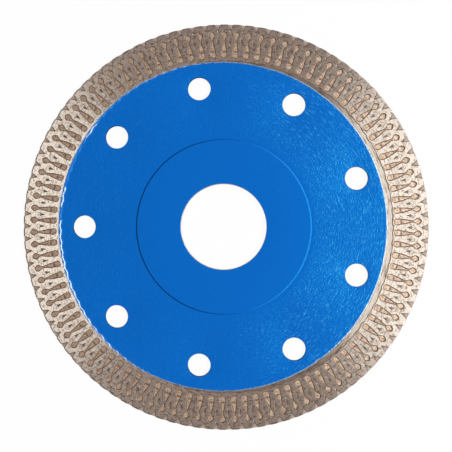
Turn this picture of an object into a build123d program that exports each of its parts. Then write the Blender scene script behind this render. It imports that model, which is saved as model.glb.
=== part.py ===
"""Thin continuous-rim diamond blade with an X-mesh rim, 105 mm across.

The blade lies flat. The origin is the centre of the bore at mid-thickness, and +Z is the
blade's axis, out of its front face. All sizes are in millimetres and degrees.
"""
import os

from build123d import *

os.makedirs("parts", exist_ok=True)

# Overall
blade_diameter = 105.0
bore_diameter = 22.23
core_thickness = 0.8
rim_thickness = 1.2

# Cooling holes through the core
hole_count = 9
hole_diameter = 6.0
hole_circle_diameter = 72.8
first_hole_angle = 20.0

# Hub: one reinforcing disc on each face, held by a thin film of braze
hub_disc_diameter = 45.0
hub_disc_thickness = 0.4
bond_thickness = 0.05
bond_edge_relief = 0.3

# Rim: radial depth of the whole sintered ring, and of its diamond-free foot
rim_depth = 9.2
foot_depth = 2.2
seat_depth = 1.6

# Keys in the core's edge, which the foot fills
key_count = 28
key_width = 2.4
key_depth = 0.8

# X-mesh relief: each pitch holds a pin recess, a teardrop recess and an edge notch
pitch_count = 98
first_pin_angle = 1.6
relief_depth = 0.28
foot_relief_depth = 0.1

# Pin recess: distances below the outer edge, then widths
pin_tip = 1.85
pin_head = 2.75
pin_waist = 4.1
pin_shoulder = 7.1
pin_end = 8.7
pin_head_width = 1.75
pin_waist_width = 0.46
pin_body_width = 1.5

# Teardrop recess
drop_top = 3.6
drop_end = 5.7
drop_width = 0.8

# Edge notch
notch_depth = 2.1
notch_width = 1.6

# Paint: one coat on each face, its edge a circle set slightly off centre
paint_thickness = 0.05
paint_rim_gap = 0.65
paint_offset_x = -0.6
paint_offset_y = 0.12
paint_hole_relief = 0.06
paint_bore_relief = 0.1

# Worked out from the sizes above
rim_radius = blade_diameter / 2
bore_radius = bore_diameter / 2
hole_radius = hole_diameter / 2
hole_circle_radius = hole_circle_diameter / 2
hub_radius = hub_disc_diameter / 2
foot_radius = rim_radius - rim_depth
joint_radius = foot_radius + foot_depth
core_radius = foot_radius + seat_depth
paint_radius = foot_radius - paint_rim_gap
core_face = core_thickness / 2
rim_face = rim_thickness / 2
hub_seat = core_face + bond_thickness
hub_face = hub_seat + hub_disc_thickness
pitch_angle = 360 / pitch_count


def core_outline():
    """Face of the core's full outline: a disc with a ring of square keys cut in its edge."""
    with BuildSketch() as outline:
        Circle(core_radius)
        with PolarLocations(core_radius, key_count):
            Rectangle(2 * key_depth, key_width, mode=Mode.SUBTRACT)
    return outline.sketch


def pin_recess():
    """One bowling-pin outline on the +X axis: a head, a narrow waist and a round end."""
    tip = (rim_radius - pin_tip, 0)
    head = (rim_radius - pin_head, pin_head_width / 2)
    waist = (rim_radius - pin_waist, pin_waist_width / 2)
    shoulder_x = rim_radius - pin_shoulder
    shoulder_y = pin_body_width / 2
    with BuildSketch() as outline:
        with BuildLine():
            side = Polyline(tip, head, waist, (shoulder_x, shoulder_y))
            mirror(side, about=Plane.XZ)
            ThreePointArc((shoulder_x, shoulder_y), (rim_radius - pin_end, 0), (shoulder_x, -shoulder_y))
        make_face()
    return outline.sketch


def teardrop_recess():
    """One teardrop outline on the +X axis, its pointed tail towards the bore."""
    bulb_x = rim_radius - drop_top - drop_width / 2
    bulb_y = drop_width / 2
    with BuildSketch() as outline:
        with BuildLine():
            ThreePointArc((bulb_x, bulb_y), (rim_radius - drop_top, 0), (bulb_x, -bulb_y))
            Polyline((bulb_x, -bulb_y), (rim_radius - drop_end, 0), (bulb_x, bulb_y))
        make_face()
    return outline.sketch


def edge_notch():
    """One triangular outline on the +X axis, its base beyond the outer edge."""
    apex_x = rim_radius - notch_depth
    base_x = rim_radius + notch_depth / 2
    base_y = notch_width / 2 * (base_x - apex_x) / notch_depth
    with BuildSketch() as outline:
        with BuildLine():
            Polyline((apex_x, 0), (base_x, base_y), (base_x, -base_y), (apex_x, 0))
        make_face()
    return outline.sketch


def relief_land(outer_radius, inner_radius, recesses):
    """Top face of a ring, less one set of recesses in each pitch."""
    with BuildSketch() as land:
        Circle(outer_radius)
        Circle(inner_radius, mode=Mode.SUBTRACT)
        with PolarLocations(0, pitch_count, start_angle=first_pin_angle):
            add(recesses, mode=Mode.SUBTRACT)
    return land.sketch


def relief_ring(outer_radius, inner_radius, land, depth):
    """Ring of the rim's thickness with the land standing on both faces.

    The rear land is turned by half a pitch, so that no two recesses lie back to back.
    """
    web_face = rim_face - depth
    with BuildPart() as web:
        with BuildSketch(Plane.XY.offset(-web_face)):
            Circle(outer_radius)
            Circle(inner_radius, mode=Mode.SUBTRACT)
        extrude(amount=2 * web_face)
    with BuildPart() as lands:
        with BuildSketch(Plane.XY.offset(web_face)):
            add(land)
        extrude(amount=depth)
        with BuildSketch(Plane.XY.offset(-rim_face)):
            add(land.rotate(Axis.Z, pitch_angle / 2))
        extrude(amount=depth)
    return web.solid().fuse(*lands.solids(), glue=True)


def hub_disc(seat):
    """Reinforcing disc standing on the given height, with the blade's bore."""
    with BuildPart() as disc:
        with BuildSketch(Plane.XY.offset(seat)):
            Circle(hub_radius)
            Circle(bore_radius, mode=Mode.SUBTRACT)
        extrude(amount=hub_disc_thickness)
    return disc.part


def hub_bond(seat):
    """Braze film under a hub disc, held back from the disc's edge and from the bore."""
    with BuildPart() as film:
        with BuildSketch(Plane.XY.offset(seat)):
            Circle(hub_radius - bond_edge_relief)
            Circle(bore_radius + bond_edge_relief, mode=Mode.SUBTRACT)
        extrude(amount=bond_thickness)
    return film.part


def paint_coat():
    """Coat of the front face: over the core, up the hub disc's edge and over the disc."""
    skirt_radius = hub_radius + paint_thickness
    coat_face = hub_face + paint_thickness
    with BuildPart() as coat:
        with BuildSketch(Plane.XY.offset(core_face)):
            with Locations((paint_offset_x, paint_offset_y)):
                Circle(paint_radius)
            with PolarLocations(hole_circle_radius, hole_count, start_angle=first_hole_angle):
                Circle(hole_radius + paint_hole_relief, mode=Mode.SUBTRACT)
            Circle(hub_radius, mode=Mode.SUBTRACT)
        extrude(amount=paint_thickness)
        with BuildSketch(Plane.XY.offset(core_face)):
            Circle(skirt_radius)
            Circle(hub_radius, mode=Mode.SUBTRACT)
        extrude(amount=coat_face - core_face)
        with BuildSketch(Plane.XY.offset(hub_face)):
            Circle(skirt_radius)
            Circle(bore_radius + paint_bore_relief, mode=Mode.SUBTRACT)
        extrude(amount=paint_thickness)
    return coat.part


# Steel core
with BuildPart() as steel_core:
    with BuildSketch(Plane.XY.offset(-core_face)):
        add(core_outline())
        Circle(bore_radius, mode=Mode.SUBTRACT)
        with PolarLocations(hole_circle_radius, hole_count, start_angle=first_hole_angle):
            Circle(hole_radius, mode=Mode.SUBTRACT)
    extrude(amount=core_thickness)
steel_core.part.label = "steel_core"
export_step(steel_core.part, "parts/steel_core.step")

# Diamond-free foot: a ring round the core's edge, grooved to the core's own outline
foot_land = relief_land(joint_radius, foot_radius, pin_recess())
with BuildPart() as rim_foot:
    add(relief_ring(joint_radius, foot_radius, foot_land, foot_relief_depth))
    with BuildSketch(Plane.XY.offset(-core_face)):
        add(core_outline())
    extrude(amount=core_thickness, mode=Mode.SUBTRACT)
rim_foot.part.label = "rim_foot"
export_step(rim_foot.part, "parts/rim_foot.step")

# Diamond rim: the ring outside the foot, with the whole X-mesh
with BuildSketch() as pitch_recesses:
    add(pin_recess())
    add(teardrop_recess().rotate(Axis.Z, pitch_angle / 2))
    add(edge_notch().rotate(Axis.Z, pitch_angle / 2))
rim_land = relief_land(rim_radius, joint_radius, pitch_recesses.sketch)
with BuildPart() as diamond_rim:
    add(relief_ring(rim_radius, joint_radius, rim_land, relief_depth))
diamond_rim.part.label = "diamond_rim"
export_step(diamond_rim.part, "parts/diamond_rim.step")

# Hub discs and their braze films
with BuildPart() as front_hub_disc:
    add(hub_disc(hub_seat))
front_hub_disc.part.label = "front_hub_disc"
export_step(front_hub_disc.part, "parts/front_hub_disc.step")

with BuildPart() as rear_hub_disc:
    mirror(hub_disc(hub_seat), about=Plane.XY)
rear_hub_disc.part.label = "rear_hub_disc"
export_step(rear_hub_disc.part, "parts/rear_hub_disc.step")

with BuildPart() as front_hub_bond:
    add(hub_bond(core_face))
front_hub_bond.part.label = "front_hub_bond"
export_step(front_hub_bond.part, "parts/front_hub_bond.step")

with BuildPart() as rear_hub_bond:
    mirror(hub_bond(core_face), about=Plane.XY)
rear_hub_bond.part.label = "rear_hub_bond"
export_step(rear_hub_bond.part, "parts/rear_hub_bond.step")

# Paint coats
with BuildPart() as front_paint:
    add(paint_coat())
front_paint.part.label = "front_paint"
export_step(front_paint.part, "parts/front_paint.step")

with BuildPart() as rear_paint:
    mirror(paint_coat(), about=Plane.XY)
rear_paint.part.label = "rear_paint"
export_step(rear_paint.part, "parts/rear_paint.step")
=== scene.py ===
"""Looks of a thin diamond blade: ground and pressed sinter, ground steel and blue paint.

The blade lies flat, its axis along +Z. Shapes are worked out in millimetres and turned
into metres when a mesh is made. The sintered ring is one pitch of its X-mesh, repeated
round the axis by Geometry Nodes and closed by walls. Each coat of paint is a skin that
follows the core, the step of the hub disc and the foot of the ring.
"""
import math

import bmesh
import bpy
from mathutils import Matrix, Vector, noise
from mathutils.geometry import delaunay_2d_cdt


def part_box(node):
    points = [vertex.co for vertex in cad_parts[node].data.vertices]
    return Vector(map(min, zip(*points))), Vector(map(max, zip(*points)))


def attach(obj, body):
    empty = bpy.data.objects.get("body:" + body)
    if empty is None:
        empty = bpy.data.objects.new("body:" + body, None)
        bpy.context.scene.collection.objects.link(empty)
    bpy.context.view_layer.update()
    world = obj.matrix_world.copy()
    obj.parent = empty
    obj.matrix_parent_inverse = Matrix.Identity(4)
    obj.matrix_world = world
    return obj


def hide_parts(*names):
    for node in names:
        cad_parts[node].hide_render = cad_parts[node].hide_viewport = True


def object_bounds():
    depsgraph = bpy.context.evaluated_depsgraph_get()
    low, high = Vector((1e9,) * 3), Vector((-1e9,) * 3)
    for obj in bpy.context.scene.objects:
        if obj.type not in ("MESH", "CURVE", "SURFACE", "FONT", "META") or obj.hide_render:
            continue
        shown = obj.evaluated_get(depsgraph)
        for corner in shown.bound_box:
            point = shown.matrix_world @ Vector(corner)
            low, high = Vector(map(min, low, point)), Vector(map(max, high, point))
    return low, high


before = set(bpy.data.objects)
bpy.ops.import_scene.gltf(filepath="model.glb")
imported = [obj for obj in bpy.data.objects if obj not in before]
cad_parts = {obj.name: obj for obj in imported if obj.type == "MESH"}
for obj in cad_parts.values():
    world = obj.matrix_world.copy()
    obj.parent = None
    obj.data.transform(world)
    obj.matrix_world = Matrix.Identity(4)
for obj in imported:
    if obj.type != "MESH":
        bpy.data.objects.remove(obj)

MM = 0.001
cad_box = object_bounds()


def new_object(name, data):
    """Object of a mesh, lamp or camera, placed in the scene."""
    obj = bpy.data.objects.new(name, data)
    bpy.context.scene.collection.objects.link(obj)
    return obj


def high_x(node):
    """A node's reach along +X from the axis, in millimetres."""
    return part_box(node)[1].x / MM


def high_z(node):
    """A node's height above mid-thickness, in millimetres."""
    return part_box(node)[1].z / MM


# Sizes read from the frame
RIM_RADIUS = high_x("diamond_rim")
RIM_FACE = high_z("diamond_rim")
JOINT_RADIUS = high_x("rim_foot")
CORE_FACE = high_z("steel_core")
HUB_RADIUS = high_x("front_hub_disc")
HUB_FACE = high_z("front_hub_disc")
PAINT_FACE = high_z("front_paint")
PAINT_LOW, PAINT_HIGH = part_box("front_paint")
PAINT_CENTRE = (PAINT_LOW + PAINT_HIGH) / 2 / MM
PAINT_RADIUS = (PAINT_HIGH.x - PAINT_LOW.x) / 2 / MM
PAINT_THICKNESS = PAINT_FACE - HUB_FACE

# Sizes of the pattern and of the small features, in millimetres and degrees
CORE_RADIUS = 44.9
BORE_RADIUS = 11.115
PITCH_COUNT = 98
PITCH = 2 * math.pi / PITCH_COUNT
FIRST_PIN = math.radians(1.6)
ARC_STEPS = 12
RING_STEPS = PITCH_COUNT * ARC_STEPS
EDGE_BEVEL = 0.32
EDGE_CORNER = 0.1
EDGE_FALL_OFF = ((-EDGE_BEVEL, 0.0), (-EDGE_CORNER, 0.09), (0.0, 0.25))
LAND_ROUND = 0.05
WALL_START = 0.05
WALL_RUN = 0.16
WALL_DROP = 0.26
DROP_DEPTH = 0.05
DROP_RUBBED = 48.2

# Share of painted crease shade a point takes at most: in a drop, on the joint of foot and
# rim, on the outer edge and on the lip of the foot
DROP_CREASE_SHADE = 0.4
JOINT_CREASE_SHADE = 0.6
EDGE_CREASE_SHADE = 0.4
LIP_CREASE_SHADE = 0.22

# A point this near a circle counts as on it
ON_CIRCLE = 0.01

# Extra points along the middle of a pitch: first one, where they stop and how far apart
SPINE_START = 0.4
SPINE_STOP = 50.45
SPINE_STEP = 0.55

# Outlines of one pitch, as (distance from the axis, half width) about each one's own radius
PIN = ((50.75, 0.0), (50.55, 0.4), (50.0, 0.82), (49.5, 0.84), (48.85, 0.36), (48.3, 0.2),
       (46.5, 0.62), (45.55, 0.68), (45.45, 0.68), (44.6, 0.84), (43.95, 0.7), (43.72, 0.25))
DROP = ((49.05, 0.1), (48.75, 0.46), (48.25, 0.44), (47.3, 0.12), (46.75, 0.0))
NOTCH = ((50.4, 0.0), (50.9, 0.2), (52.2, 0.74), (53.2, 1.1))

# Depth of the recess floor below the land, against the distance from the axis
RECESS_FLOOR = ((43.7, 0.08), (45.1, 0.12), (45.49, 0.26), (45.51, 0.28), (45.8, 0.24),
                (47.6, 0.3), (48.5, 0.24), (49.3, 0.2), (49.6, 0.3), (50.6, 0.3),
                (51.0, 0.24), (52.5, 0.34))

# Inner lip of the foot: its mean radius, how far it wanders, and its profile as
# (distance outward from the lip's edge, height)
LIP_OUTER_RADIUS = 43.62
LIP_RADIUS = 43.04
LIP_LIMIT = 43.5
LIP_BULGE = 0.12
LIP_OFF_CENTRE = 0.40
LIP_PROFILE = ((0.34, RIM_FACE), (0.24, RIM_FACE - 0.01), (0.16, RIM_FACE - 0.05),
               (0.04, RIM_FACE - 0.15), (0.0, CORE_FACE))

# Paint: height of its flat part, its holes, and how finely its rings are cut
PLATE_HEIGHT = CORE_FACE + PAINT_THICKNESS
HOLE_COUNT = 9
HOLE_RADIUS = 3.06
HOLE_CIRCLE_RADIUS = 36.4
FIRST_HOLE = math.radians(20)
HOLE_STEPS = 56
HUB_STEPS = 240
ZONE_RADIUS = 41.0
ZONE_STEPS = 3 * PITCH_COUNT
FILM_THICKNESS = 0.045

# Profiles of the coat: down the step of the hub disc, into a hole and into the bore
HUB_STEP = ((0.45, PLATE_HEIGHT), (0.17, PLATE_HEIGHT + 0.012), (0.10, PLATE_HEIGHT + 0.05),
            (0.06, PLATE_HEIGHT + 0.14), (0.05, PAINT_FACE - 0.13), (0.01, PAINT_FACE - 0.045),
            (-0.08, PAINT_FACE - 0.012), (-0.22, PAINT_FACE))
HOLE_FILM = ((2.99, CORE_FACE + 0.035), (2.96, CORE_FACE - 0.02), (2.96, 0.01))
BORE_FILM = ((0.25, PAINT_FACE), (0.1, PAINT_FACE - 0.012), (0.02, PAINT_FACE - 0.045))

# Rings of the coat's outer zone, as distances from the lip and then from the paint's edge
LIP_RUNS = (-0.6, -0.2, -0.1, -0.03, 0.03, 0.1, 0.18, 0.3)
EDGE_RUNS = (-0.3, -0.16, -0.07, -0.02, 0.0)
LEAST_GAP = 0.015

# Height gained over the foot's lip, and lost at the paint's edge, against distance from each
LIP_CLIMB = ((-0.3, 0.0), (-0.16, 0.01), (-0.08, 0.05), (0.0, 0.11), (0.08, 0.165),
             (0.16, 0.19), (0.3, 0.2))
EDGE_FALL = ((-0.3, 0.0), (-0.16, -0.002), (-0.07, -0.027), (-0.02, -0.042), (0.0, -0.045))

# Stretches where the lip's crest takes a painted highlight on the front coat, in degrees,
# and the rings of the outer zone on it; its strength there, and how far paint pools elsewhere
LIP_HIGHLIGHT_STRETCHES = ((141, 147), (166, 173), (178, 236))
CREST_ROWS = (3, 4, 5)
CREST_HIGHLIGHT = 0.55
SLIGHTLY_POOLED = 0.15


# ---- pitch of the X-mesh

def closed_outline(half, smooth_rounds):
    """Closed loop of 2-D points from a half outline, its corners cut by Chaikin's rule."""
    upper = [Vector((r, w)) for r, w in half]
    lower = [Vector((r, -w)) for r, w in reversed(half) if w > 0]
    loop = upper + lower
    for _ in range(smooth_rounds):
        cut = []
        for a, b in zip(loop, loop[1:] + loop[:1]):
            cut += [a.lerp(b, 0.25), a.lerp(b, 0.75)]
        loop = cut
    return loop


def offset_loop(loop, distance):
    """The loop moved along its outward normals, kept on its own side of the axis."""
    area = sum(a.x * b.y - b.x * a.y for a, b in zip(loop, loop[1:] + loop[:1]))
    turn = 1 if area > 0 else -1
    moved = []
    for before, here, after in zip(loop[-1:] + loop[:-1], loop, loop[1:] + loop[:1]):
        way = (after - before).normalized()
        point = here + distance * turn * Vector((way.y, -way.x))
        if abs(here.y) > 1e-9 and point.y * here.y < 0.25 * here.y * here.y:
            point.y = 0.25 * here.y
        moved.append(point)
    return moved


def turned(loop, angle):
    """The loop turned round the blade's axis."""
    c, s = math.cos(angle), math.sin(angle)
    return [Vector((p.x * c - p.y * s, p.x * s + p.y * c)) for p in loop]


def signed_distance(point, loop):
    """Distance to the loop, negative inside it."""
    nearest, inside = 1e9, False
    for a, b in zip(loop, loop[1:] + loop[:1]):
        run = b - a
        share = max(0.0, min(1.0, (point - a).dot(run) / run.length_squared))
        nearest = min(nearest, (point - a - share * run).length)
        if (a.y > point.y) != (b.y > point.y):
            if point.x < a.x + (point.y - a.y) / (b.y - a.y) * (b.x - a.x):
                inside = not inside
    return -nearest if inside else nearest


def stepped(table, x):
    """Linear value between the rows of a short table."""
    for (x0, y0), (x1, y1) in zip(table, table[1:]):
        if x <= x1:
            return y0 + (y1 - y0) * max(0.0, x - x0) / (x1 - x0)
    return table[-1][1]


PIN_LOOP = closed_outline(PIN, 1)
DROP_LOOP = closed_outline(DROP, 2)
NOTCH_LOOP = closed_outline(NOTCH, 1)
RECESSES = ([PIN_LOOP]
            + [turned(DROP_LOOP, side * PITCH / 2) for side in (-1, 1)]
            + [turned(NOTCH_LOOP, side * PITCH / 2) for side in (-1, 1)])


def sink(point, radius):
    """Depth below the land at a point, whether it is pressed, and its painted crease shade, 0 to
    1.
    """
    distances = [signed_distance(point, loop) for loop in RECESSES]
    distance = min(distances)
    drop = 0.0
    if distance < LAND_ROUND - 1e-4:
        drop = (LAND_ROUND - max(distance, -LAND_ROUND)) / (2 * LAND_ROUND) * WALL_START
    if distance < -LAND_ROUND:
        drop += (-LAND_ROUND - distance) * WALL_DROP / WALL_RUN
    drop = min(drop, stepped(RECESS_FLOOR, radius))
    # Share of painted shade in the crease, rising from the land's edge down the wall
    inside = max(0.0, min(1.0, (LAND_ROUND - distance) / (2 * LAND_ROUND + WALL_RUN)))
    if distance in distances[1:3]:
        drop = min(drop, DROP_DEPTH)
        inside = min(inside, DROP_CREASE_SHADE)
    if abs(radius - JOINT_RADIUS) < ON_CIRCLE:
        inside = min(inside, JOINT_CREASE_SHADE)
    fall = stepped(EDGE_FALL_OFF, radius - RIM_RADIUS)
    # The outer edge takes painted shade too
    if radius > RIM_RADIUS - ON_CIRCLE:
        inside = EDGE_CREASE_SHADE
    return drop + fall, distance < -0.8 * LAND_ROUND, inside


def middle_of(triangle, flat):
    """Centre of a triangle given by its points' numbers."""
    return sum((flat[i] for i in triangle), Vector((0, 0))) / 3


def pitch_lines(inner, outer):
    """Points and edges that the mesh of one pitch has to follow."""
    points, edges = [], []

    def add_chain(chain, closed):
        start = len(points)
        points.extend(chain)
        edges.extend((start + i, start + i + 1) for i in range(len(chain) - 1))
        if closed:
            edges.append((start + len(chain) - 1, start))

    steps = [PITCH * (i / ARC_STEPS - 0.5) for i in range(ARC_STEPS + 1)]
    radii = [inner, outer]
    if outer > JOINT_RADIUS + 1:
        radii += [outer - EDGE_BEVEL, outer - EDGE_CORNER]
    for radius in radii:
        add_chain([Vector((radius * math.cos(a), radius * math.sin(a))) for a in steps], False)
    for side in (-1, 1):
        add_chain(turned([Vector((inner, 0)), Vector((outer, 0))], side * PITCH / 2), False)
    base = ((PIN_LOOP, 0), (DROP_LOOP, -1), (DROP_LOOP, 1), (NOTCH_LOOP, -1), (NOTCH_LOOP, 1))
    for loop, side in base:
        for distance in (LAND_ROUND, -LAND_ROUND, -LAND_ROUND - WALL_RUN):
            add_chain(turned(offset_loop(loop, distance), side * PITCH / 2), True)
    spine = inner + SPINE_START
    while spine < min(outer, SPINE_STOP):
        points.append(Vector((spine, 0)))
        spine += SPINE_STEP
    return points, edges


def pitch_sheet(inner, outer):
    """One face of one pitch: 2-D points, their sink, triangles and whether each is pressed."""
    points, edges = pitch_lines(inner, outer)
    flat, _, triangles, *_ = delaunay_2d_cdt(points, edges, [], 0, 1e-5)
    kept = []
    for triangle in triangles:
        centre = middle_of(triangle, flat)
        if abs(math.atan2(centre.y, centre.x)) < PITCH / 2 and inner < centre.length < outer:
            kept.append(tuple(triangle))
    # Rim and foot each take the floor's depth on their own side of the joint
    lean = 1e-3 if inner > LIP_OUTER_RADIUS + 0.1 else -1e-3
    sinks = [sink(p, p.length + lean * (abs(p.length - JOINT_RADIUS) < ON_CIRCLE)) for p in flat]
    pressed = []
    for triangle in kept:
        centre = middle_of(triangle, flat)
        in_drop = min(signed_distance(centre, loop) for loop in RECESSES[1:3]) < -1.4 * LAND_ROUND
        in_drop = in_drop and centre.length > DROP_RUBBED
        on_edge = centre.length > RIM_RADIUS - EDGE_CORNER
        pressed.append(on_edge or any(sinks[i][1] for i in triangle) and not in_drop)
    return flat, sinks, kept, pressed


def pitch_tile(name, inner, outer):
    """Mesh of one pitch: its front face, and its rear face half a pitch further round."""
    flat, sinks, triangles, pressed = pitch_sheet(inner, outer)
    used = sorted({i for t in triangles for i in t})
    place = {old: new for new, old in enumerate(used)}
    vertices, faces, flags, crease_shades = [], [], [], []
    for side in (1, -1):
        start = len(vertices)
        angle = FIRST_PIN + (PITCH / 2 if side < 0 else 0)
        for i in used:
            p = turned([flat[i]], angle)[0]
            vertices.append((p.x * MM, p.y * MM, side * (RIM_FACE - sinks[i][0]) * MM))
            crease_shades.append(sinks[i][2])
        for triangle, is_pressed in zip(triangles, pressed):
            corners = [start + place[i] for i in triangle]
            faces.append(corners if side > 0 else corners[::-1])
            flags.append(is_pressed)
    mesh = bpy.data.meshes.new(name)
    mesh.from_pydata(vertices, [], faces)
    mark = mesh.attributes.new("pressed", "BOOLEAN", "FACE")
    mark.data.foreach_set("value", flags)
    # Painted crease shade for each point, read by the pressed sinter's material
    crease_shade = mesh.attributes.new("crease_shade", "FLOAT", "POINT")
    crease_shade.data.foreach_set("value", crease_shades)
    return new_object(name, mesh)


# ---- geometry nodes

def add_node(tree, kind, label="", **values):
    """A node with its label and its settings."""
    node = tree.nodes.new(kind)
    node.label = label
    for key, value in values.items():
        setattr(node, key, value)
    return node


def feed(tree, value, socket):
    """Links a socket to an input, or sets the input's own value."""
    if isinstance(value, bpy.types.NodeSocket):
        tree.links.new(value, socket)
    else:
        socket.default_value = value


def math_node(tree, operation, *inputs):
    """A Math node; each input is a number or a socket. Returns its output."""
    node = add_node(tree, "ShaderNodeMath", operation=operation)
    for socket, value in zip(node.inputs, inputs):
        feed(tree, value, socket)
    return node.outputs[0]


def times(tree, first, second):
    """The product of two values."""
    return math_node(tree, "MULTIPLY", first, second)


def one_less(tree, value):
    """1 minus the value."""
    return math_node(tree, "SUBTRACT", 1.0, value)


def vector_node(tree, operation, *inputs, scale=None):
    """A Vector Math node; each input is a vector or a socket. Returns the node."""
    node = add_node(tree, "ShaderNodeVectorMath", operation=operation)
    for socket, value in zip(node.inputs, inputs):
        feed(tree, value, socket)
    if scale is not None:
        feed(tree, scale, node.inputs["Scale"])
    return node


# Wander of the pattern: share that goes into height, and the run over which it dies down
RISE_SHARE = 0.12
CALM_RUN = 0.9
PATTERN_SEED = 3.0


def welded_copies(tree, given):
    """Copies of one pitch set round the axis and welded together."""
    link = tree.links.new
    line = add_node(tree, "GeometryNodeMeshLine", "one point for each pitch")
    link(given["Count"], line.inputs["Count"])
    line.inputs["Offset"].default_value = (0, 0, 0)
    index = tree.nodes.new("GeometryNodeInputIndex")
    share = math_node(tree, "DIVIDE", index.outputs[0], given["Count"])
    turn = tree.nodes.new("ShaderNodeCombineXYZ")
    link(times(tree, share, 2 * math.pi), turn.inputs["Z"])
    copies = add_node(tree, "GeometryNodeInstanceOnPoints", "pitches")
    link(line.outputs["Mesh"], copies.inputs["Points"])
    link(given["Pitch"], copies.inputs["Instance"])
    link(turn.outputs[0], copies.inputs["Rotation"])
    real = tree.nodes.new("GeometryNodeRealizeInstances")
    link(copies.outputs[0], real.inputs[0])
    weld = add_node(tree, "GeometryNodeMergeByDistance", "weld the pitches")
    link(real.outputs[0], weld.inputs["Geometry"])
    link(given["Weld"], weld.inputs["Distance"])
    return weld.outputs[0]


def wander_drift(tree, given):
    """Small drift of every point, dying down towards the calm radius."""
    position = tree.nodes.new("GeometryNodeInputPosition").outputs[0]
    waves = add_node(tree, "ShaderNodeTexNoise", "hand-cut wander", noise_dimensions="4D")
    tree.links.new(position, waves.inputs["Vector"])
    tree.links.new(given["Seed"], waves.inputs["W"])
    tree.links.new(given["Wander Size"], waves.inputs["Scale"])
    waves.inputs["Detail"].default_value = 1.0
    centred = vector_node(tree, "SUBTRACT", waves.outputs["Color"], (0.5, 0.5, 0.5))
    flat = vector_node(tree, "MULTIPLY", centred.outputs[0], (1.0, 1.0, RISE_SHARE))
    shape = vector_node(tree, "MULTIPLY", position, (1.0, 1.0, 0.0))
    radius = vector_node(tree, "LENGTH", shape.outputs[0]).outputs["Value"]
    inside = math_node(tree, "SUBTRACT", given["Calm Radius"], radius)
    freedom = math_node(tree, "MINIMUM", times(tree, inside, 1 / (CALM_RUN * MM)), 1.0)
    amount = times(tree, freedom, given["Wander"])
    return vector_node(tree, "SCALE", flat.outputs[0], scale=amount).outputs[0]


def repeat_round_axis():
    """Tree that repeats one pitch round the axis, welds it and lets it wander a little."""
    tree = bpy.data.node_groups.new("repeat_round_axis", "GeometryNodeTree")
    tree.is_modifier = True
    face = tree.interface
    face.new_socket("Pitch", in_out="INPUT", socket_type="NodeSocketGeometry")
    # Weld and Wander are in metres; Wander Size counts the waves in a metre
    for name, kind, value in (("Count", "NodeSocketInt", PITCH_COUNT),
                              ("Weld", "NodeSocketFloat", 2e-6),
                              ("Wander", "NodeSocketFloat", 6e-5),
                              ("Wander Size", "NodeSocketFloat", 420.0),
                              ("Calm Radius", "NodeSocketFloat", RIM_RADIUS * MM),
                              ("Seed", "NodeSocketFloat", PATTERN_SEED)):
        socket = face.new_socket(name, in_out="INPUT", socket_type=kind)
        socket.default_value = value
    face.new_socket("Ground", in_out="INPUT", socket_type="NodeSocketMaterial")
    face.new_socket("Pressed", in_out="INPUT", socket_type="NodeSocketMaterial")
    face.new_socket("Ring", in_out="OUTPUT", socket_type="NodeSocketGeometry")
    link = tree.links.new
    given = tree.nodes.new("NodeGroupInput").outputs
    result = tree.nodes.new("NodeGroupOutput")
    place = tree.nodes.new("GeometryNodeSetPosition")
    link(welded_copies(tree, given), place.inputs["Geometry"])
    link(wander_drift(tree, given), place.inputs["Offset"])
    ground = tree.nodes.new("GeometryNodeSetMaterial")
    link(place.outputs[0], ground.inputs["Geometry"])
    link(given["Ground"], ground.inputs["Material"])
    mark = add_node(tree, "GeometryNodeInputNamedAttribute", data_type="BOOLEAN")
    mark.inputs["Name"].default_value = "pressed"
    pressed = tree.nodes.new("GeometryNodeSetMaterial")
    link(ground.outputs[0], pressed.inputs["Geometry"])
    link(mark.outputs["Attribute"], pressed.inputs["Selection"])
    link(given["Pressed"], pressed.inputs["Material"])
    link(pressed.outputs[0], result.inputs["Ring"])
    return tree


def plain_mesh(obj):
    """The object's mesh with its modifiers applied; the modifiers are removed."""
    bpy.context.view_layer.update()
    graph = bpy.context.evaluated_depsgraph_get()
    mesh = bpy.data.meshes.new_from_object(obj.evaluated_get(graph))
    obj.modifiers.clear()
    obj.data = mesh
    if mesh.materials and mesh.materials[0] is None:
        mesh.materials.pop(index=0)
    return mesh


def patterned_ring(name, inner, outer, materials):
    """Front and rear faces of one ring of the X-mesh, all pitches welded together."""
    ring = pitch_tile(name, inner, outer)
    modifier = ring.modifiers.new("repeat", "NODES")
    modifier.node_group = PATTERN_TREE
    names = {item.name: item.identifier for item in PATTERN_TREE.interface.items_tree}
    modifier[names["Calm Radius"]] = outer * MM
    modifier[names["Seed"]] = PATTERN_SEED
    modifier[names["Ground"]] = materials[0]
    modifier[names["Pressed"]] = materials[1]
    plain_mesh(ring)
    return ring


# ---- walls and rings

# Edges sharper than this stay crisp, in degrees
SINTER_SHARP = 14
COAT_SHARP = 50


def angle_of(vertex):
    """A vertex's angle round the axis."""
    return math.atan2(vertex.co.y, vertex.co.x)


def boundary_loops(shape):
    """Open edges' vertices by side, inner or outer, each sorted by angle."""
    loops = {}
    open_vertices = {v for e in shape.edges if e.is_boundary for v in e.verts}
    radii = [v.co.xy.length for v in open_vertices]
    middle = (min(radii) + max(radii)) / 2
    for vertex in open_vertices:
        key = (vertex.co.z > 0, vertex.co.xy.length > middle)
        loops.setdefault(key, []).append(vertex)
    for key in loops:
        loops[key].sort(key=angle_of)
    return loops


def zip_loops(shape, first, second, material=0):
    """Closes the gap between two rings of vertices, each sorted by angle, with triangles."""
    i = j = 0
    n, m = len(first), len(second)
    while i < n or j < m:
        a, b = first[i % n], second[j % m]
        next_a = angle_of(first[(i + 1) % n]) + (2 * math.pi if i + 1 >= n else 0)
        next_b = angle_of(second[(j + 1) % m]) + (2 * math.pi if j + 1 >= m else 0)
        if j >= m or (i < n and next_a <= next_b):
            corner = first[(i + 1) % n]
            i += 1
        else:
            corner = second[(j + 1) % m]
            j += 1
        if corner not in (a, b):
            face = shape.faces.new((a, b, corner))
            face.material_index = material


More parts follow.
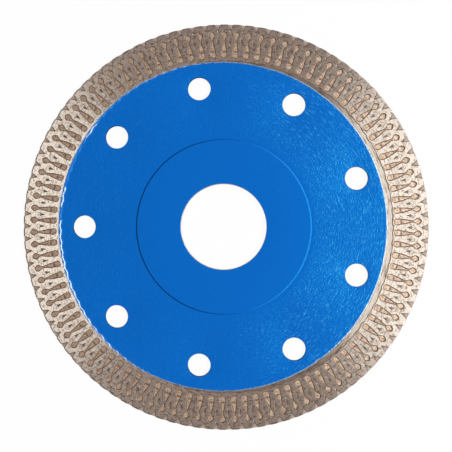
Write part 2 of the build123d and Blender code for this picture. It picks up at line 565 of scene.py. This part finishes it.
def add_ring(shape, count, place):
    """A ring of new vertices, sorted by angle; place(angle) gives (radius, height)."""
    ring = []
    for i in range(count):
        angle = -math.pi + 2 * math.pi * (i + 0.5) / count
        radius, height = place(angle)
        ring.append(shape.verts.new((radius * math.cos(angle) * MM,
                                     radius * math.sin(angle) * MM, height * MM)))
    return ring


def join_rings(shape, first, second, material=0):
    """Quads between two rings with the same number of vertices."""
    count = len(first)
    for i in range(count):
        k = (i + 1) % count
        face = shape.faces.new((first[i], first[k], second[k], second[i]))
        face.material_index = material


def finish_mesh(shape, obj):
    """Writes the shape back to its object with outward faces and crisp edges."""
    bmesh.ops.recalc_face_normals(shape, faces=shape.faces)
    shape.to_mesh(obj.data)
    shape.free()
    obj.data.shade_smooth()
    obj.data.set_sharp_from_angle(angle=math.radians(SINTER_SHARP))


def wave(angle, turns, seed):
    """Smooth seeded noise round a circle, about -1 to 1, with that many waves a turn."""
    reach = turns / (2 * math.pi)
    return noise.noise(Vector((reach * math.cos(angle), reach * math.sin(angle), seed)))


# ---- sintered ring

def lip_radius(angle, side):
    """Inner edge of the foot's pressed lip, which wanders and bulges under each pin."""
    first = FIRST_PIN + (PITCH / 2 if side < 0 else 0)
    bulge = LIP_BULGE * math.cos(PITCH_COUNT * (angle - first))
    off_centre = LIP_OFF_CENTRE * math.cos(angle)
    rough = 0.16 * wave(angle, 80, 5.0 + side) + 0.1 * wave(angle, 240, 9.0 + side)
    rough *= 1 + 0.7 * math.cos(angle)
    return min(LIP_LIMIT, LIP_RADIUS + off_centre - bulge + rough)


def make_rim(materials):
    """Diamond rim: both faces, the outer edge and the joint towards the foot."""
    rim = patterned_ring("rim_with_x_mesh", JOINT_RADIUS, RIM_RADIUS, materials)
    shape = bmesh.new()
    shape.from_mesh(rim.data)
    loops = boundary_loops(shape)
    zip_loops(shape, loops[True, True], loops[False, True], 1)
    zip_loops(shape, loops[True, False], loops[False, False], 1)
    finish_mesh(shape, rim)
    return rim


def make_foot(materials):
    """Foot of the rim: both faces, their pressed lips, and the groove that holds the core."""
    foot = patterned_ring("foot_of_rim", LIP_OUTER_RADIUS, JOINT_RADIUS, materials)
    shape = bmesh.new()
    shape.from_mesh(foot.data)
    loops = boundary_loops(shape)
    zip_loops(shape, loops[True, True], loops[False, True], 1)
    seat = []
    crease_shade = shape.verts.layers.float["crease_shade"]
    for side in (1, -1):
        rings = []
        for run, height in LIP_PROFILE:
            def place(angle, run=run, height=height):
                edge = lip_radius(angle, side)
                return min(edge + run, LIP_OUTER_RADIUS - 0.1 * (0.4 - run)), side * height
            rings.append(add_ring(shape, RING_STEPS, place))
            for vertex in rings[-1]:
                # Painted shade down the wall of the lip
                vertex[crease_shade] = LIP_CREASE_SHADE if height < RIM_FACE - 0.03 else 0.0
        zip_loops(shape, loops[side > 0, False], rings[0])
        for index, (outer, inner) in enumerate(zip(rings, rings[1:])):
            join_rings(shape, outer, inner, 0 if index == 0 else 1)
        groove = add_ring(shape, RING_STEPS, lambda angle: (CORE_RADIUS, side * CORE_FACE))
        join_rings(shape, rings[-1], groove, 1)
        seat.append(groove)
    join_rings(shape, seat[0], seat[1], 1)
    finish_mesh(shape, foot)
    return foot


# ---- paint

def paint_reach(angle, seed):
    """Distance from the axis to the ragged edge of the paint."""
    x, y = PAINT_CENTRE.x, PAINT_CENTRE.y
    along = x * math.cos(angle) + y * math.sin(angle)
    across = -x * math.sin(angle) + y * math.cos(angle)
    even = along + math.sqrt(PAINT_RADIUS ** 2 - across ** 2)
    ragged = 0.05 * wave(angle, 40, seed) + 0.09 * wave(angle, 330, seed + 4)
    chips = max(0.0, wave(angle, 150, seed + 8) - 0.45) * 0.7
    return even + ragged - chips


def lip_highlit_at(angle):
    """Whether the lip's crest takes a painted highlight on the front coat at an angle."""
    degrees = math.degrees(angle) % 360
    return any(first < degrees < last for first, last in LIP_HIGHLIGHT_STRETCHES)


def circle_points(radius, count, centre=(0, 0)):
    """Points spread evenly round a circle."""
    turns = [2 * math.pi * i / count for i in range(count)]
    return [Vector((centre[0] + radius * math.cos(turn), centre[1] + radius * math.sin(turn)))
            for turn in turns]


def flat_plate(shape, side, holes):
    """Flat part of a coat. Returns its inner ring, its outer ring and a ring for each hole."""
    hub_outer = HUB_RADIUS + HUB_STEP[0][0]
    chains = [circle_points(hub_outer, HUB_STEPS), circle_points(ZONE_RADIUS, ZONE_STEPS)]
    chains += [circle_points(HOLE_RADIUS, HOLE_STEPS, centre) for centre in holes]
    points, edges = [], []
    for chain in chains:
        start = len(points)
        points += chain
        edges += [(start + i, start + (i + 1) % len(chain)) for i in range(len(chain))]
    flat, _, triangles, *_ = delaunay_2d_cdt(points, edges, [], 0, 1e-6)
    vertices = [shape.verts.new((p.x * MM, p.y * MM, side * PLATE_HEIGHT * MM)) for p in flat]
    for triangle in triangles:
        centre = middle_of(triangle, flat)
        in_hole = any((centre - Vector(hole)).length < HOLE_RADIUS * 0.999 for hole in holes)
        if hub_outer * 0.9999 < centre.length < ZONE_RADIUS and not in_hole:
            shape.faces.new([vertices[i] for i in triangle])
    rings, start = [], 0
    for chain in chains:
        rings.append(vertices[start:start + len(chain)])
        start += len(chain)
    return sorted(rings[0], key=angle_of), sorted(rings[1], key=angle_of), rings[2:]


def line_holes(shape, side, holes, rings):
    """Film drawn over each hole's edge and down its wall to mid-thickness."""
    for centre, ring in zip(holes, rings):
        for radius, height in HOLE_FILM:
            below = [shape.verts.new((p.x * MM, p.y * MM, side * height * MM))
                     for p in circle_points(radius, HOLE_STEPS, centre)]
            join_rings(shape, ring, below)
            ring = below


def cover_hub(shape, side, plate_ring):
    """Step of the hub disc, and the face of the disc in to the bore."""
    rings = [add_ring(shape, HUB_STEPS, lambda a: (HUB_RADIUS + run, side * height))
             for run, height in HUB_STEP[1:]]
    rings += [add_ring(shape, HUB_STEPS, lambda a: (BORE_RADIUS + run, side * height))
              for run, height in BORE_FILM]
    zip_loops(shape, rings[0], plate_ring)
    for first, second in zip(rings, rings[1:]):
        join_rings(shape, first, second)


def pooling_and_highlight_of(vertex, row, side):
    """How pooled and how pale the paint is at a vertex of the outer zone; pale is partly painted
    highlight.
    """
    lip_highlit = side > 0 and lip_highlit_at(angle_of(vertex))
    edge = len(LIP_RUNS)
    pooled = 1.0 if lip_highlit or row > edge else SLIGHTLY_POOLED
    if row in (0, edge - 1, edge):
        pooled = 0.0
    thin = 0.0
    # At the paint's edge: pale thin paint all round, with a painted highlight growing towards +X
    if row > edge:
        thin_and_highlight = 0.4 + 0.6 * max(0.0, vertex.co.xy.normalized().x)
        thin = (0.5 if row == edge + 1 else 1.0) * thin_and_highlight
    # On the lip's highlighted crest: a painted highlight
    if row in CREST_ROWS and lip_highlit:
        thin = CREST_HIGHLIGHT
    return pooled, thin


def cover_lip(shape, side, seed, plate_ring, layers):
    """Outer zone of a coat, up over the foot's lip as far as the paint reaches."""
    rows = len(LIP_RUNS) + len(EDGE_RUNS)
    zone = []
    for row in range(rows):
        def place(angle, row=row):
            lip = lip_radius(angle, side)
            reach = paint_reach(angle, seed)
            steps = [lip + run for run in LIP_RUNS] + [reach + run for run in EDGE_RUNS]
            radius = min(steps[row], reach - LEAST_GAP * (rows - 1 - row))
            climb = stepped(LIP_CLIMB, radius - lip) + stepped(EDGE_FALL, radius - reach)
            return radius, side * (PLATE_HEIGHT + climb)
        zone.append(add_ring(shape, RING_STEPS, place))
        for vertex in zone[-1]:
            for layer, value in zip(layers, pooling_and_highlight_of(vertex, row, side)):
                vertex[layer] = value
    zip_loops(shape, zone[0], plate_ring)
    for first, second in zip(zone, zone[1:]):
        join_rings(shape, first, second)


def coat_object(name, side, shape, material):
    """Object of a finished skin, given its thickness as a film."""
    mesh = bpy.data.meshes.new(name)
    mesh.materials.append(material)
    coat = new_object(name, mesh)
    bmesh.ops.recalc_face_normals(shape, faces=shape.faces)
    if next(f for f in shape.faces).normal.z * side < 0:
        bmesh.ops.reverse_faces(shape, faces=shape.faces)
    shape.to_mesh(mesh)
    shape.free()
    film = coat.modifiers.new("film", "SOLIDIFY")
    film.thickness = FILM_THICKNESS * MM
    film.offset = -1
    plain_mesh(coat)
    coat.data.shade_smooth()
    coat.data.set_sharp_from_angle(angle=math.radians(COAT_SHARP))
    return coat


def make_paint(name, side, seed, material):
    """One coat: a skin over the core, the step of the hub disc and the lip of the foot."""
    shape = bmesh.new()
    kinds = shape.verts.layers.float
    kinds.new("pooled")
    # Pale share of the paint: thin paint at its edge, and painted highlight
    kinds.new("thin")
    layers = [kinds["pooled"], kinds["thin"]]
    angles = [FIRST_HOLE + 2 * math.pi * k / HOLE_COUNT for k in range(HOLE_COUNT)]
    holes = [(HOLE_CIRCLE_RADIUS * math.cos(a), HOLE_CIRCLE_RADIUS * math.sin(a)) for a in angles]
    hub_ring, zone_ring, hole_rings = flat_plate(shape, side, holes)
    line_holes(shape, side, holes, hole_rings)
    cover_hub(shape, side, hub_ring)
    cover_lip(shape, side, seed, zone_ring, layers)
    bmesh.ops.delete(shape, geom=[v for v in shape.verts if not v.link_faces], context="VERTS")
    return coat_object(name, side, shape, material)


# ---- shared effects

def new_group(name, inputs, outputs):
    """Shader node group with float sockets. Returns its tree, its inputs and its outputs."""
    tree = bpy.data.node_groups.new(name, "ShaderNodeTree")
    for label, value in inputs:
        socket = tree.interface.new_socket(label, in_out="INPUT", socket_type="NodeSocketFloat")
        socket.default_value = value
    for label in outputs:
        tree.interface.new_socket(label, in_out="OUTPUT", socket_type="NodeSocketFloat")
    return tree, tree.nodes.new("NodeGroupInput").outputs, tree.nodes.new("NodeGroupOutput").inputs


def place_mm(tree):
    """Place on the object in millimetres."""
    where = tree.nodes.new("ShaderNodeTexCoord")
    return vector_node(tree, "SCALE", where.outputs["Object"], scale=1 / MM).outputs[0]


def ramp_between(tree, value, low, high):
    """0 below low, 1 above high, smooth between; low and high are numbers or sockets."""
    node = tree.nodes.new("ShaderNodeMapRange")
    node.interpolation_type = "SMOOTHSTEP"
    tree.links.new(value, node.inputs["Value"])
    feed(tree, low, node.inputs["From Min"])
    feed(tree, high, node.inputs["From Max"])
    return node.outputs["Result"]


# Radius at which a streak has the length it is given, in millimetres
GRAIN_RADIUS = 48.0


def make_round_grain():
    """Streaks that run round the axis, as a grinding wheel leaves them."""
    tree, given, result = new_group("round_grain", (("Streaks per mm", 2.0), ("Streak mm", 3.0),
                                                    ("Seed", 0.0)), ("Grain", "Radius", "Cosine"))
    link = tree.links.new
    place = vector_node(tree, "MULTIPLY", place_mm(tree), (1.0, 1.0, 0.0)).outputs[0]
    radius = vector_node(tree, "LENGTH", place).outputs["Value"]
    way = vector_node(tree, "NORMALIZE", place).outputs[0]
    turns = math_node(tree, "DIVIDE", GRAIN_RADIUS, given["Streak mm"])
    round_way = vector_node(tree, "SCALE", way, scale=turns).outputs[0]
    split = tree.nodes.new("ShaderNodeSeparateXYZ")
    link(round_way, split.inputs[0])
    across = times(tree, radius, given["Streaks per mm"])
    across = math_node(tree, "ADD", across, given["Seed"])
    spot = tree.nodes.new("ShaderNodeCombineXYZ")
    for socket, value in zip(spot.inputs, (split.outputs["X"], split.outputs["Y"], across)):
        link(value, socket)
    streaks = tree.nodes.new("ShaderNodeTexNoise")
    link(spot.outputs[0], streaks.inputs["Vector"])
    for name, value in (("Scale", 1.0), ("Detail", 2.0), ("Roughness", 0.6)):
        streaks.inputs[name].default_value = value
    link(streaks.outputs["Fac"], result["Grain"])
    link(radius, result["Radius"])
    heading = tree.nodes.new("ShaderNodeSeparateXYZ")
    link(way, heading.inputs[0])
    link(heading.outputs["X"], result["Cosine"])
    return tree


def make_specks():
    """Scattered small spots: a size in millimetres, the share of cells with one, their edge."""
    tree, given, result = new_group("specks", (("Size mm", 0.5), ("Share", 0.3), ("Seed", 0.0)),
                                    ("Spots",))
    link = tree.links.new
    cells = add_node(tree, "ShaderNodeTexVoronoi", voronoi_dimensions="4D")
    link(place_mm(tree), cells.inputs["Vector"])
    link(math_node(tree, "DIVIDE", 1.0, given["Size mm"]), cells.inputs["Scale"])
    link(given["Seed"], cells.inputs["W"])
    split = tree.nodes.new("ShaderNodeSeparateColor")
    link(cells.outputs["Color"], split.inputs[0])
    chosen = math_node(tree, "LESS_THAN", split.outputs[0], given["Share"])
    size = math_node(tree, "MULTIPLY_ADD", split.outputs[1], 0.3, 0.25)
    spot = math_node(tree, "SUBTRACT", size, cells.outputs["Distance"])
    spot = ramp_between(tree, spot, 0.0, 0.12)
    link(times(tree, spot, chosen), result["Spots"])
    return tree


def make_mottle():
    """Cloudy variation of a given size in millimetres, 0 to 1."""
    tree, given, result = new_group("mottle", (("Size mm", 1.0), ("Seed", 0.0)), ("Clouds",))
    link = tree.links.new
    cloud = add_node(tree, "ShaderNodeTexNoise", noise_dimensions="4D")
    link(place_mm(tree), cloud.inputs["Vector"])
    link(math_node(tree, "DIVIDE", 1.0, given["Size mm"]), cloud.inputs["Scale"])
    link(given["Seed"], cloud.inputs["W"])
    cloud.inputs["Detail"].default_value = 3.0
    link(ramp_between(tree, cloud.outputs["Fac"], 0.3, 0.7), result["Clouds"])
    return tree


ROUND_GRAIN = make_round_grain()
SPECKS = make_specks()
MOTTLE = make_mottle()


def use(tree, group, **values):
    """A shared group placed in a material with its own values. Returns its outputs."""
    node = tree.nodes.new("ShaderNodeGroup")
    node.node_tree = group
    for name, value in values.items():
        node.inputs[name.replace("_", " ")].default_value = value
    return node.outputs


def blend(tree, share, first, second):
    """Colour between two colours, each a tuple or a socket; share is a number or a socket."""
    node = add_node(tree, "ShaderNodeMix", data_type="RGBA")
    feed(tree, share, node.inputs["Factor"])
    for socket, colour in ((node.inputs[6], first), (node.inputs[7], second)):
        feed(tree, (*colour, 1) if isinstance(colour, tuple) else colour, socket)
    return node.outputs[2]


def add_bump(tree, shader, height, depth_mm):
    """Relief of the given depth for heights from 0 to 1."""
    bump = tree.nodes.new("ShaderNodeBump")
    bump.inputs["Strength"].default_value = 1.0
    bump.inputs["Distance"].default_value = depth_mm * MM
    tree.links.new(height, bump.inputs["Height"])
    tree.links.new(bump.outputs["Normal"], shader.inputs["Normal"])


# ---- materials

LAND_TAN = (0.80, 0.74, 0.645)
LAND_CREAM = (0.89, 0.835, 0.735)
GRIME = (0.20, 0.13, 0.09)
# Painted shade of the rim's outer edge
EDGE_PAINTED_SHADE = (0.03, 0.03, 0.03)
PRESSED_DARK = (0.29, 0.21, 0.15)
PRESSED_LIGHT = (0.60, 0.475, 0.355)
PRESSED_GREY = (0.36, 0.295, 0.24)
PRESSED_PIT = (0.14, 0.09, 0.065)
# Painted shade in the creases of the recesses
PAINTED_CREASE_SHADE = (0.10, 0.065, 0.045)
STEEL_BRIGHT = (0.64, 0.59, 0.51)
STEEL_SCORED = (0.30, 0.235, 0.18)
DISC_DARK = (0.50, 0.48, 0.46)
DISC_LIGHT = (0.60, 0.58, 0.56)
BRAZE_DARK = (0.45, 0.34, 0.2)
BRAZE_LIGHT = (0.56, 0.46, 0.3)
BLUE_DEEP = (0.0030, 0.122, 0.52)
BLUE_LIGHT = (0.0036, 0.132, 0.55)
# Painted glint highlight
BLUE_PAINTED_GLINT = (0.06, 0.42, 0.78)
# Painted shade on the walls of the holes
HOLE_WALL_PAINTED_SHADE = (0.002, 0.03, 0.14)
# Painted shade and painted highlight at the hub disc's step
HUB_STEP_PAINTED_SHADE = (0.001, 0.018, 0.11)
HUB_STEP_PAINTED_HIGHLIGHT = (0.03, 0.36, 0.74)
# Pale thin paint at the coat's edge, and painted highlight
PALE_THIN_PAINT_AND_HIGHLIGHT = (0.72, 0.93, 0.98)

# Radii between which the painted shade of the outer edge and the grey of the notches come in
EDGE_SHADE_FROM = RIM_RADIUS - 0.46
EDGE_SHADE_FULL = RIM_RADIUS - 0.28
GREY_FROM = 50.3
GREY_FULL = 51.0
PRESSED_METALLIC = 0.5
COAT_ROUGHNESS = 0.27
HOLE_ROUGHNESS = 1.0


def new_material(name, metallic, roughness, anisotropy=0.0):
    """Material with its constant values set on the shader. Returns it, its tree and shader."""
    material = bpy.data.materials.new(name)
    material.use_nodes = True
    tree = material.node_tree
    shader = tree.nodes["Principled BSDF"]
    shader.inputs["Metallic"].default_value = metallic
    shader.inputs["Roughness"].default_value = roughness
    if anisotropy:
        shader.inputs["Anisotropic"].default_value = anisotropy
        shader.inputs["Anisotropic Rotation"].default_value = 0.25
        tangent = add_node(tree, "ShaderNodeTangent", direction_type="RADIAL", axis="Z")
        tree.links.new(tangent.outputs[0], shader.inputs["Tangent"])
    return material, tree, shader


def ring_line(tree, grain, radius, full, gone):
    """Mask of a line round the axis: 1 on the radius, 0 at the distance gone from it."""
    off = math_node(tree, "ABSOLUTE", math_node(tree, "SUBTRACT", grain["Radius"], radius))
    return one_less(tree, ramp_between(tree, off, full, gone))


def make_ground_sinter():
    """Lands ground flat: cream metal with fine brown streaks and pits, painted shade at the edge.
    """
    material, tree, shader = new_material("ground_sinter", 1.0, 0.5, 1.0)
    grain = use(tree, ROUND_GRAIN, Streaks_per_mm=2.4, Streak_mm=1.0, Seed=4.0)
    lines = ramp_between(tree, grain["Grain"], 0.50, 0.66)
    pits = use(tree, SPECKS, Size_mm=0.42, Share=0.4, Seed=2.0)["Spots"]
    clouds = use(tree, MOTTLE, Size_mm=1.5, Seed=1.0)["Clouds"]
    dirt = times(tree, lines, 0.6)
    dirt = math_node(tree, "MAXIMUM", dirt, times(tree, pits, 0.8))
    seam = ring_line(tree, grain, JOINT_RADIUS, 0.05, 0.13)
    dirt = math_node(tree, "MAXIMUM", dirt, times(tree, seam, 0.3))
    # Painted shade on the outer edge, darkest at -X, away from the window, and gone by +X
    edge = ramp_between(tree, grain["Radius"], EDGE_SHADE_FROM, EDGE_SHADE_FULL)
    edge_shade = math_node(tree, "MULTIPLY_ADD", grain["Cosine"], -0.52, 0.4)
    metal = blend(tree, clouds, LAND_TAN, LAND_CREAM)
    metal = blend(tree, dirt, metal, GRIME)
    metal = blend(tree, times(tree, edge, edge_shade), metal, EDGE_PAINTED_SHADE)
    tree.links.new(metal, shader.inputs["Base Color"])
    add_bump(tree, shader, math_node(tree, "SUBTRACT", grain["Grain"], dirt), 0.008)
    return material


def make_pressed_sinter():
    """Recess floors left as pressed: rough brown, greyer by the edge, painted shade in each
    crease.
    """
    material, tree, shader = new_material("pressed_sinter", PRESSED_METALLIC, 0.5)
    clouds = use(tree, MOTTLE, Size_mm=0.45, Seed=5.0)["Clouds"]
    pits = use(tree, SPECKS, Size_mm=0.45, Share=0.35, Seed=7.0)["Spots"]
    # Painted shade on the walls of the recesses, on the lip and on the outer edge, read from the
    # mesh
    depth = add_node(tree, "ShaderNodeAttribute", attribute_name="crease_shade").outputs["Fac"]
    into = ramp_between(tree, depth, 0.05, 0.35)
    out = ramp_between(tree, depth, 0.6, 1.0)
    crease = times(tree, into, one_less(tree, out))
    brown = blend(tree, clouds, PRESSED_DARK, PRESSED_LIGHT)
    outer = ramp_between(tree, use(tree, ROUND_GRAIN)["Radius"], GREY_FROM, GREY_FULL)
    brown = blend(tree, times(tree, outer, 0.7), brown, PRESSED_GREY)
    metallic = math_node(tree, "MULTIPLY_ADD", outer, -0.35, PRESSED_METALLIC)
    tree.links.new(metallic, shader.inputs["Metallic"])
    brown = blend(tree, times(tree, pits, 0.6), brown, PRESSED_PIT)
    brown = blend(tree, times(tree, crease, 0.92), brown, PAINTED_CREASE_SHADE)
    tree.links.new(brown, shader.inputs["Base Color"])
    add_bump(tree, shader, clouds, 0.03)
    return material


def make_ground_steel():
    """Core of the blade, bright where the paint stops short of the ring."""
    material, tree, shader = new_material("ground_steel", 1.0, 0.45, 1.0)
    grain = use(tree, ROUND_GRAIN, Streaks_per_mm=3.0, Streak_mm=3.0, Seed=9.0)
    lines = ramp_between(tree, grain["Grain"], 0.45, 0.7)
    tree.links.new(blend(tree, lines, STEEL_BRIGHT, STEEL_SCORED), shader.inputs["Base Color"])
    add_bump(tree, shader, grain["Grain"], 0.006)
    return material


def make_rolled_steel():
    """Discs of the hub, plain rolled steel."""
    material, tree, shader = new_material("rolled_steel", 1.0, 0.4)
    clouds = use(tree, MOTTLE, Size_mm=3.0, Seed=3.0)["Clouds"]
    tree.links.new(blend(tree, clouds, DISC_DARK, DISC_LIGHT), shader.inputs["Base Color"])
    add_bump(tree, shader, use(tree, MOTTLE, Size_mm=0.3, Seed=4.0)["Clouds"], 0.004)
    return material


def make_braze_film():
    """Film of braze between the core and a hub disc."""
    material, tree, shader = new_material("braze_film", 1.0, 0.5)
    clouds = use(tree, MOTTLE, Size_mm=1.0, Seed=6.0)["Clouds"]
    tree.links.new(blend(tree, clouds, BRAZE_DARK, BRAZE_LIGHT), shader.inputs["Base Color"])
    add_bump(tree, shader, clouds, 0.01)
    return material


def painted_glints_mask(tree, grain):
    """Mask of small painted glint highlights round the plate, most of them towards +X."""
    streaks = use(tree, ROUND_GRAIN, Streaks_per_mm=5.5, Streak_mm=2.0, Seed=31.0)
    glints = ramp_between(tree, streaks["Grain"], 0.58, 0.70)
    side = ramp_between(tree, grain["Cosine"], 0.0, 0.9)
    side = math_node(tree, "MULTIPLY_ADD", side, 0.85, 0.1)
    outside = ramp_between(tree, grain["Radius"], HUB_RADIUS, HUB_RADIUS + 6.0)
    return times(tree, glints, times(tree, side, outside))


def paint_on_face(tree):
    """Mask of the paint on the faces: 1 there, 0 on the walls of the holes."""
    split = tree.nodes.new("ShaderNodeSeparateXYZ")
    tree.links.new(place_mm(tree), split.inputs[0])
    height = math_node(tree, "ABSOLUTE", split.outputs["Z"])
    return ramp_between(tree, height, CORE_FACE, CORE_FACE + 0.04)


def painted_light_at_hub_step(tree, grain, blue):
    """Painted shade in the corner of the hub disc's step at -X, painted highlight on it at +X."""
    corner = ring_line(tree, grain, HUB_RADIUS + 0.08, 0.06, 0.2)
    dark = one_less(tree, ramp_between(tree, grain["Cosine"], -0.6, 0.4))
    pale = times(tree, ramp_between(tree, grain["Cosine"], 0.0, 0.8), 0.5)
    blue = blend(tree, times(tree, corner, dark), blue, HUB_STEP_PAINTED_SHADE)
    return blend(tree, times(tree, corner, pale), blue, HUB_STEP_PAINTED_HIGHLIGHT)


def make_blue_coat():
    """Sprayed blue paint with the round grain of the core, painted glints, shade and highlights.
    """
    material, tree, shader = new_material("blue_coat", 0.0, COAT_ROUGHNESS)
    shader.inputs["Specular IOR Level"].default_value = 0.5
    shader.inputs["Specular Tint"].default_value = (0.03, 0.7, 1.0, 1)
    shader.inputs["Coat Roughness"].default_value = 0.25
    pooled = add_node(tree, "ShaderNodeAttribute", attribute_name="pooled").outputs["Fac"]
    thin = add_node(tree, "ShaderNodeAttribute", attribute_name="thin").outputs["Fac"]
    grain = use(tree, ROUND_GRAIN, Streaks_per_mm=2.4, Streak_mm=1.2, Seed=12.0)
    clouds = use(tree, MOTTLE, Size_mm=0.35, Seed=8.0)["Clouds"]
    face = paint_on_face(tree)
    blue = blend(tree, clouds, BLUE_DEEP, BLUE_LIGHT)
    blue = blend(tree, painted_glints_mask(tree, grain), blue, BLUE_PAINTED_GLINT)
    # Painted shade on the walls of the holes
    blue = blend(tree, face, HOLE_WALL_PAINTED_SHADE, blue)
    blue = painted_light_at_hub_step(tree, grain, blue)
    gloss = COAT_ROUGHNESS - HOLE_ROUGHNESS
    roughness = math_node(tree, "MULTIPLY_ADD", face, gloss, HOLE_ROUGHNESS)
    # Pale where the paint is thin at its edge, and a painted highlight towards +X and on the lip's
    # crest
    for name, value in (("Base Color", blend(tree, thin, blue, PALE_THIN_PAINT_AND_HIGHLIGHT)),
                        ("Roughness", roughness),
                        ("Metallic", times(tree, thin, 0.5)),
                        ("Coat Weight", pooled)):
        tree.links.new(value, shader.inputs[name])
    on_plate = ramp_between(tree, grain["Radius"], HUB_RADIUS - 0.5, HUB_RADIUS + 1.5)
    on_plate = math_node(tree, "MULTIPLY_ADD", on_plate, 0.8, 0.2)
    relief = math_node(tree, "MULTIPLY_ADD", clouds, 0.15, grain["Grain"])
    add_bump(tree, shader, times(tree, relief, on_plate), 0.12)
    return material


ground_sinter = make_ground_sinter()
pressed_sinter = make_pressed_sinter()
ground_steel = make_ground_steel()
rolled_steel = make_rolled_steel()
braze_film = make_braze_film()
blue_coat = make_blue_coat()

# ---- pieces

PATTERN_TREE = repeat_round_axis()
rim = make_rim((ground_sinter, pressed_sinter))
foot = make_foot((ground_sinter, pressed_sinter))
front_coat = make_paint("front_coat_of_paint", 1, 2.0, blue_coat)
rear_coat = make_paint("rear_coat_of_paint", -1, 31.0, blue_coat)

for piece, node, slot in ((rim, "diamond_rim", "diamond_sinter"),
                          (foot, "rim_foot", "foot_sinter"),
                          (front_coat, "front_paint", "blue_paint"),
                          (rear_coat, "rear_paint", "blue_paint")):
    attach(piece, "root")
    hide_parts(node)

for node, material in (("steel_core", ground_steel), ("front_hub_disc", rolled_steel),
                       ("rear_hub_disc", rolled_steel), ("front_hub_bond", braze_film),
                       ("rear_hub_bond", braze_film)):
    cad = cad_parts[node]
    cad.data.materials.clear()
    cad.data.materials.append(material)

# ---- studio

# Half the floor's side and its gap under the blade, in metres
FLOOR_REACH = 1.5
FLOOR_GAP = 0.00002
FLOOR_COLOUR = (0.85, 0.85, 0.85, 1)
FLOOR_WHITE_SHARE = 0.95
SKY_COLOUR = (0.41, 0.337, 0.328)
WHITE = (1.0, 1.0, 1.0)


def floor_material():
    """Pale floor that shows as white to the camera and keeps some of the shadow."""
    material = bpy.data.materials.new("pale_floor")
    material.use_nodes = True
    tree = material.node_tree
    tree.nodes.clear()
    output = tree.nodes.new("ShaderNodeOutputMaterial")
    diffuse = tree.nodes.new("ShaderNodeBsdfDiffuse")
    diffuse.inputs["Color"].default_value = FLOOR_COLOUR
    glow = tree.nodes.new("ShaderNodeEmission")
    path = tree.nodes.new("ShaderNodeLightPath")
    seen = math_node(tree, "MAXIMUM", path.outputs["Is Camera Ray"], path.outputs["Is Glossy Ray"])
    seen = math_node(tree, "MAXIMUM", seen, path.outputs["Is Transmission Ray"])
    share = times(tree, seen, FLOOR_WHITE_SHARE)
    mix = tree.nodes.new("ShaderNodeMixShader")
    tree.links.new(share, mix.inputs["Fac"])
    tree.links.new(diffuse.outputs[0], mix.inputs[1])
    tree.links.new(glow.outputs[0], mix.inputs[2])
    tree.links.new(mix.outputs[0], output.inputs["Surface"])
    return material


def make_floor():
    """Level square just under the blade."""
    reach, height = FLOOR_REACH, cad_box[0].z - FLOOR_GAP
    mesh = bpy.data.meshes.new("floor")
    mesh.from_pydata([(-reach, -reach, height), (reach, -reach, height), (reach, reach, height),
                      (-reach, reach, height)], [], [(0, 1, 2, 3)])
    mesh.materials.append(floor_material())
    new_object("floor", mesh)


def make_sky():
    """Dim even light from all round, white where the camera sees it."""
    world = bpy.data.worlds.new("studio")
    world.use_nodes = True
    bpy.context.scene.world = world
    path = world.node_tree.nodes.new("ShaderNodeLightPath")
    sky = blend(world.node_tree, path.outputs["Is Camera Ray"], SKY_COLOUR, WHITE)
    world.node_tree.links.new(sky, world.node_tree.nodes["Background"].inputs["Color"])


def make_window(panes, tilt, distance, spread, height, power):
    """Low wide window at the +X side, as panes side by side on an arc; angles in degrees."""
    width = 2 * math.tan(math.radians(spread / 2)) * distance * math.sin(math.radians(tilt))
    for index in range(panes):
        azimuth = math.radians(spread * (index - (panes - 1) / 2))
        data = bpy.data.lights.new(f"window_pane_{index}", "AREA")
        data.shape = "RECTANGLE"
        data.size = width
        data.size_y = height
        data.energy = power / panes
        pane = new_object(data.name, data)
        slope = math.radians(tilt)
        way = Vector((math.sin(slope) * math.cos(azimuth), math.sin(slope) * math.sin(azimuth),
                      math.cos(slope)))
        across = Vector((-math.sin(azimuth), math.cos(azimuth), 0))
        turn = Matrix((across, way.cross(across), way)).transposed()
        pane.matrix_world = Matrix.Translation(way * distance) @ turn.to_4x4()


# Camera: nearly square to the face, its +X side a little nearer; distances in millimetres
CAMERA_TILT = math.radians(2.415)
CAMERA_LEAN = math.radians(-0.35)
CAMERA_DISTANCE = 162.95
CAMERA_ASIDE = (0.63, 0.20)
LENS = 50.0


def make_camera():
    """Camera that looks down at the blade."""
    data = bpy.data.cameras.new("camera")
    data.lens = LENS
    data.sensor_width = 36.0
    data.clip_start = 0.005
    camera = new_object("camera", data)
    away = Vector((math.sin(CAMERA_TILT) * math.cos(CAMERA_LEAN), math.sin(CAMERA_LEAN),
                   math.cos(CAMERA_TILT) * math.cos(CAMERA_LEAN)))
    right = Vector((0, 1, 0)).cross(away).normalized()
    up = away.cross(right)
    stand = (away * CAMERA_DISTANCE + right * CAMERA_ASIDE[0] + up * CAMERA_ASIDE[1]) * MM
    turn = Matrix((right, up, away)).transposed().to_4x4()
    camera.matrix_world = Matrix.Translation(stand) @ turn
    bpy.context.scene.camera = camera


make_floor()
make_sky()
make_window(panes=3, tilt=38, distance=0.6, spread=30, height=0.1, power=3.2)
make_camera()
bpy.context.scene.view_settings.view_transform = "Standard"
